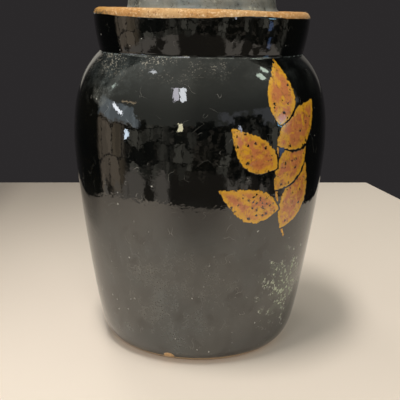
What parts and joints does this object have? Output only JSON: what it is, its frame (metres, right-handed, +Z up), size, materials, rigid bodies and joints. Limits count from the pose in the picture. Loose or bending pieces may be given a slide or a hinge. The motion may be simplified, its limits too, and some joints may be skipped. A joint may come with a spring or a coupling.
{
  "type": "cookie jar",
  "caption": "Stoneware jar with a swelling body, a short flared collar and a domed knobbed lid that rests on a ledge inside the collar.",
  "frame": {"origin": "on the jar's axis, on the surface that the foot stands on", "axes": "+Z up along the jar's axis; -Y is the side that faces the viewer in the picture, and +X is to the viewer's right"},
  "size_m": [0.184, 0.184, 0.2958],
  "materials": {
    "black_glaze": "glossy black glaze on buff stoneware that is bare at the lip and the foot, with amber brushwork on the jar"
  },
  "bodies": {
    "jar": {"jar": "black_glaze"},
    "lid": {"lid": "black_glaze"}
  },
  "joints": [
    {"name": "lid_lift", "type": "slide", "parent": "jar", "child": "lid", "axis": [0, 0, 1], "range_m": [0, 0.2]}
  ]
}
